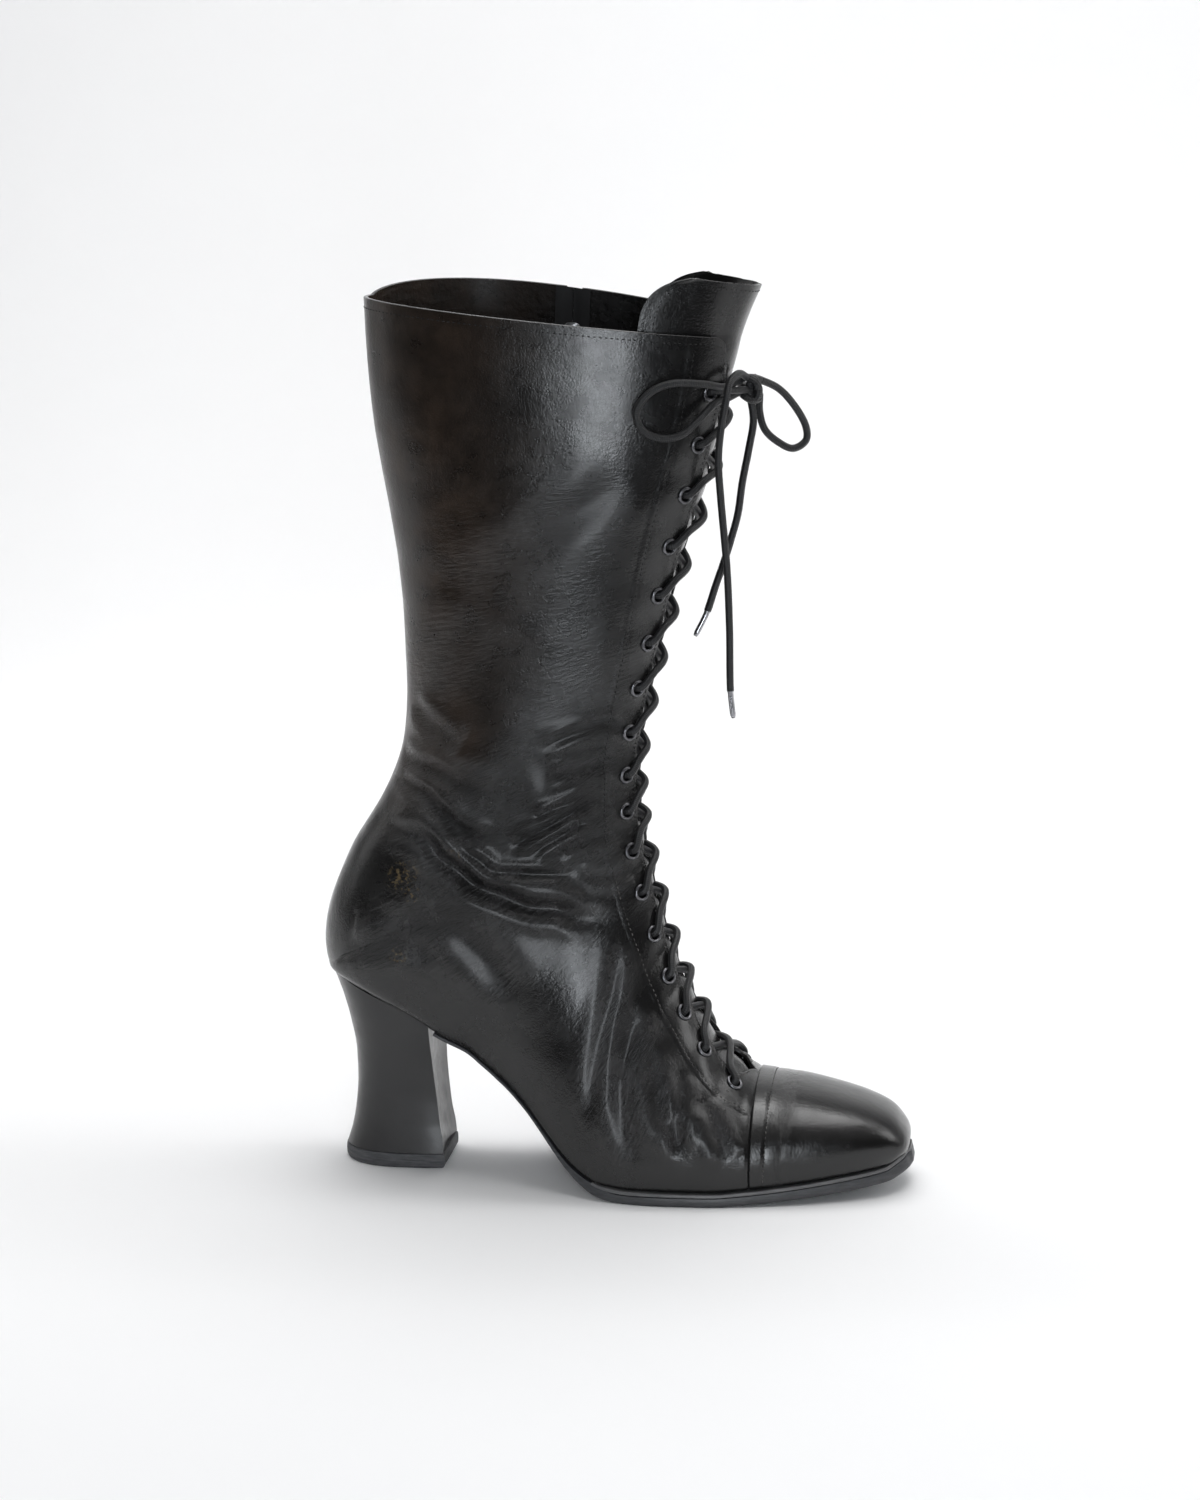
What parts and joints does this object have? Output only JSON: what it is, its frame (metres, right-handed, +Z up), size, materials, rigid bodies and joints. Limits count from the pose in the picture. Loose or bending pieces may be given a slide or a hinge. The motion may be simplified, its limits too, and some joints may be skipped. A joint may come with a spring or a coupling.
{
  "type": "victorian lace up boot",
  "caption": "Mid-calf lace up boot with a toe cap, flared stacked heel, eyelet lacing tied in a bow and an inner side zip.",
  "frame": {"origin": "middle of the boot's box in plan, on the floor that it stands on", "axes": "+X from heel to toe, +Y to the medial side, +Z up"},
  "size_m": [0.2546, 0.0942, 0.3818],
  "materials": {
    "black_leather": "aged gloss",
    "sole_leather": "satin",
    "welt_leather": "satin",
    "heel_leather": "satin",
    "heel_rubber": "worn matt",
    "insole_board": "matt",
    "dark_metal": "dark satin",
    "zip_metal": "satin",
    "lace_cotton": "waxed"
  },
  "bodies": {
    "boot": {"upper": "black_leather", "toe_cap": "black_leather", "tongue": "black_leather", "insole": "insole_board", "midsole": "welt_leather", "outsole": "sole_leather", "heel": "heel_leather", "top_lift": "heel_rubber", "zip_chain": "zip_metal", "zip_slider": "zip_metal", "eyelet_lateral_01": "dark_metal", "eyelet_lateral_02": "dark_metal", "eyelet_lateral_03": "dark_metal", "eyelet_lateral_04": "dark_metal", "eyelet_lateral_05": "dark_metal", "eyelet_lateral_06": "dark_metal", "eyelet_lateral_07": "dark_metal", "eyelet_lateral_08": "dark_metal", "eyelet_lateral_09": "dark_metal", "eyelet_lateral_10": "dark_metal", "eyelet_lateral_11": "dark_metal", "eyelet_lateral_12": "dark_metal", "eyelet_lateral_13": "dark_metal", "eyelet_lateral_14": "dark_metal", "eyelet_lateral_15": "dark_metal", "eyelet_lateral_16": "dark_metal", "eyelet_lateral_17": "dark_metal", "eyelet_medial_01": "dark_metal", "eyelet_medial_02": "dark_metal", "eyelet_medial_03": "dark_metal", "eyelet_medial_04": "dark_metal", "eyelet_medial_05": "dark_metal", "eyelet_medial_06": "dark_metal", "eyelet_medial_07": "dark_metal", "eyelet_medial_08": "dark_metal", "eyelet_medial_09": "dark_metal", "eyelet_medial_10": "dark_metal", "eyelet_medial_11": "dark_metal", "eyelet_medial_12": "dark_metal", "eyelet_medial_13": "dark_metal", "eyelet_medial_14": "dark_metal", "eyelet_medial_15": "dark_metal", "eyelet_medial_16": "dark_metal", "eyelet_medial_17": "dark_metal", "lace_crossings": "lace_cotton", "lace_knot": "lace_cotton", "lace_loop_lateral": "lace_cotton", "lace_loop_medial": "lace_cotton", "lace_end_lateral": "lace_cotton", "lace_end_medial": "lace_cotton"},
    "pull": {"zip_pull": "zip_metal"}
  },
  "joints": [
    {"name": "zip_pull_hinge", "type": "hinge", "parent": "boot", "child": "pull", "pos_m": [-0.02491, 0.04645, 0.35817], "axis": [1, 0, 0], "range_deg": [0, 170]}
  ]
}
